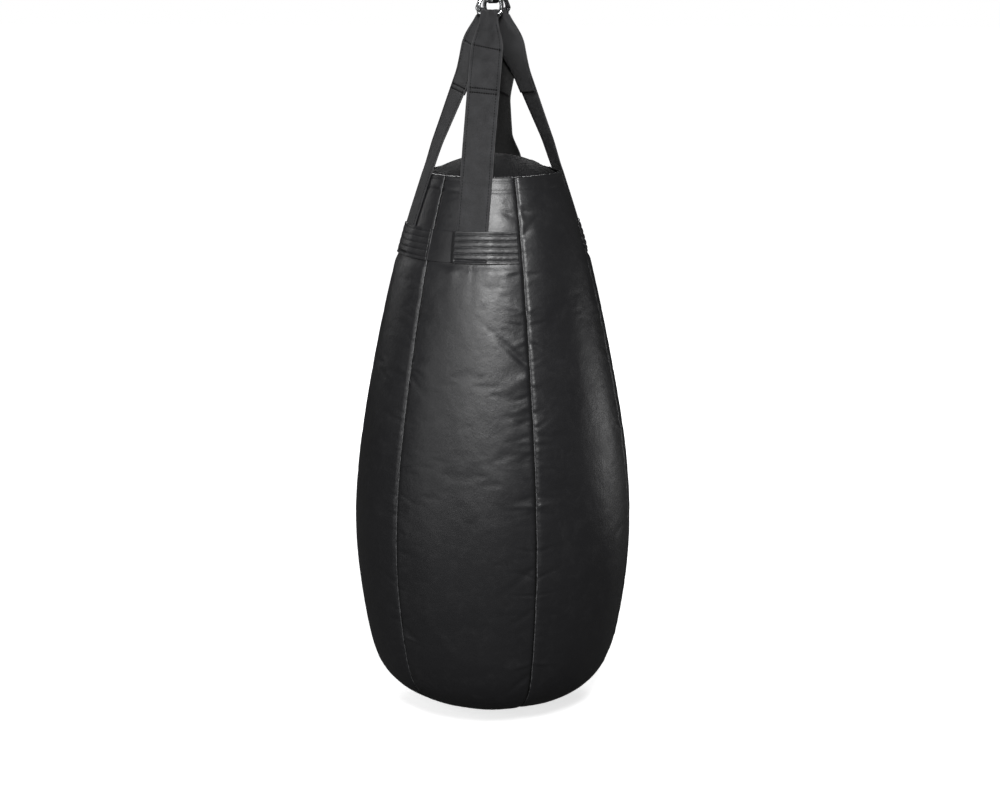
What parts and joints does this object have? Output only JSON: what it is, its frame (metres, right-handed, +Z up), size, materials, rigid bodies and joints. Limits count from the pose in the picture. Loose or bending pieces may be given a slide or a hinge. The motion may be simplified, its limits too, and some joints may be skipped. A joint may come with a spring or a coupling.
{
  "type": "heavy punching bag",
  "caption": "Teardrop heavy punching bag of sewn coated-fabric panels, hung from webbing straps, D-rings, a snap hook and a ball-bearing swivel.",
  "frame": {"origin": "centre of the hang eye's hole, from which the bag hangs", "axes": "+Z up, -Y towards the front strap's panel, +X to the right seen from the front; +Y is the hang eye's hole axis"},
  "size_m": [0.4506, 0.4482, 1.3284],
  "materials": {
    "forged_steel": "satin",
    "bearing_steel": "polished",
    "brass_cage": "satin",
    "bright_steel": "polished",
    "spring_steel": "satin",
    "cover_skin": "satin",
    "cap_cloth": "matte",
    "foam": "matte",
    "zip_tape": "matte",
    "zip_coil": "satin",
    "zip_metal": "satin",
    "liner_cloth": "matte",
    "pouch_cloth": "matte",
    "shredded_textile": "matte",
    "webbing": "matte"
  },
  "bodies": {
    "swivel_top": {"hang_eye": "forged_steel", "swivel_nut": "forged_steel", "bearing_race_lower": "bearing_steel"},
    "ball_set": {"bearing_balls": "bearing_steel", "ball_cage": "brass_cage"},
    "swivel_lower": {"swivel_housing": "forged_steel", "swivel_lower_eye": "forged_steel", "bearing_race_upper": "bearing_steel"},
    "snap_hook": {"hook_body": "bright_steel", "gate_pin": "bright_steel"},
    "gate": {"hook_gate": "bright_steel", "gate_spring": "spring_steel"},
    "bag": {"panel_front": "cover_skin", "panel_right_front": "cover_skin", "panel_right_rear": "cover_skin", "panel_rear": "cover_skin", "panel_left_rear": "cover_skin", "panel_left_front": "cover_skin", "strap_front": "webbing", "band_front": "cover_skin", "strap_left": "webbing", "band_left": "cover_skin", "strap_right": "webbing", "band_right": "cover_skin", "strap_rear": "webbing", "band_rear": "cover_skin", "seam_welts": "cover_skin", "bottom_patch": "cover_skin", "rim_hem": "cover_skin", "top_cap": "cap_cloth", "top_pad": "foam", "zip_tapes": "zip_tape", "zip_coils": "zip_coil", "inner_liner": "liner_cloth", "foam_layer": "foam", "sand_pouches": "pouch_cloth", "textile_fill": "shredded_textile"},
    "zip_slider": {"zip_slider": "zip_metal"},
    "zip_pull": {"zip_pull": "zip_metal"},
    "ring_front": {"ring_front": "bright_steel"},
    "ring_left": {"ring_left": "bright_steel"},
    "ring_right": {"ring_right": "bright_steel"},
    "ring_rear": {"ring_rear": "bright_steel"}
  },
  "joints": [
    {"name": "swivel_spin", "type": "hinge", "parent": "swivel_top", "child": "swivel_lower", "pos_m": [0, 0, -0.03155], "axis": [0, 0, 1], "continuous": true},
    {"name": "ball_roll", "type": "hinge", "parent": "swivel_top", "child": "ball_set", "pos_m": [0, 0, -0.03155], "axis": [0, 0, 1], "continuous": true},
    {"name": "hook_rock", "type": "hinge", "parent": "swivel_lower", "child": "snap_hook", "pos_m": [0, 0, -0.0908], "axis": [1, 0, 0], "range_deg": [-20, 20]},
    {"name": "gate_open", "type": "hinge", "parent": "snap_hook", "child": "gate", "pos_m": [0, 0.02981, -0.1628], "axis": [1, 0, 0], "range_deg": [0, 25], "stiffness_Nm_per_rad": 0.05},
    {"name": "bag_swing", "type": "hinge", "parent": "snap_hook", "child": "bag", "pos_m": [0, 0, -0.1778], "axis": [0, 1, 0], "range_deg": [-25, 25]},
    {"name": "ring_front_tilt", "type": "hinge", "parent": "bag", "child": "ring_front", "pos_m": [0, -0.02367, -0.19773], "axis": [1, 0, 0], "range_deg": [-1, 3]},
    {"name": "ring_left_tilt", "type": "hinge", "parent": "bag", "child": "ring_left", "pos_m": [-0.0073, -0.00929, -0.19774], "axis": [0.9391, 0, -0.3437], "range_deg": [-1, 3]},
    {"name": "ring_right_tilt", "type": "hinge", "parent": "bag", "child": "ring_right", "pos_m": [0.0073, 0.00929, -0.19774], "axis": [0.9391, 0, 0.3437], "range_deg": [-3, 1]},
    {"name": "ring_rear_tilt", "type": "hinge", "parent": "bag", "child": "ring_rear", "pos_m": [0, 0.02367, -0.19773], "axis": [1, 0, 0], "range_deg": [-3, 1]},
    {"name": "zip_travel", "type": "hinge", "parent": "bag", "child": "zip_slider", "pos_m": [0, 0, -0.43375], "axis": [0, 0, 1], "range_deg": [-43, 43]},
    {"name": "zip_pull_lift", "type": "hinge", "parent": "zip_slider", "child": "zip_pull", "pos_m": [0, 0.0861, -0.42977], "axis": [0, 0.8849, -0.4657], "range_deg": [0, 60]}
  ],
  "couplings": [
    {"joint": "ball_roll", "follows": "swivel_spin", "ratio": 0.5}
  ]
}
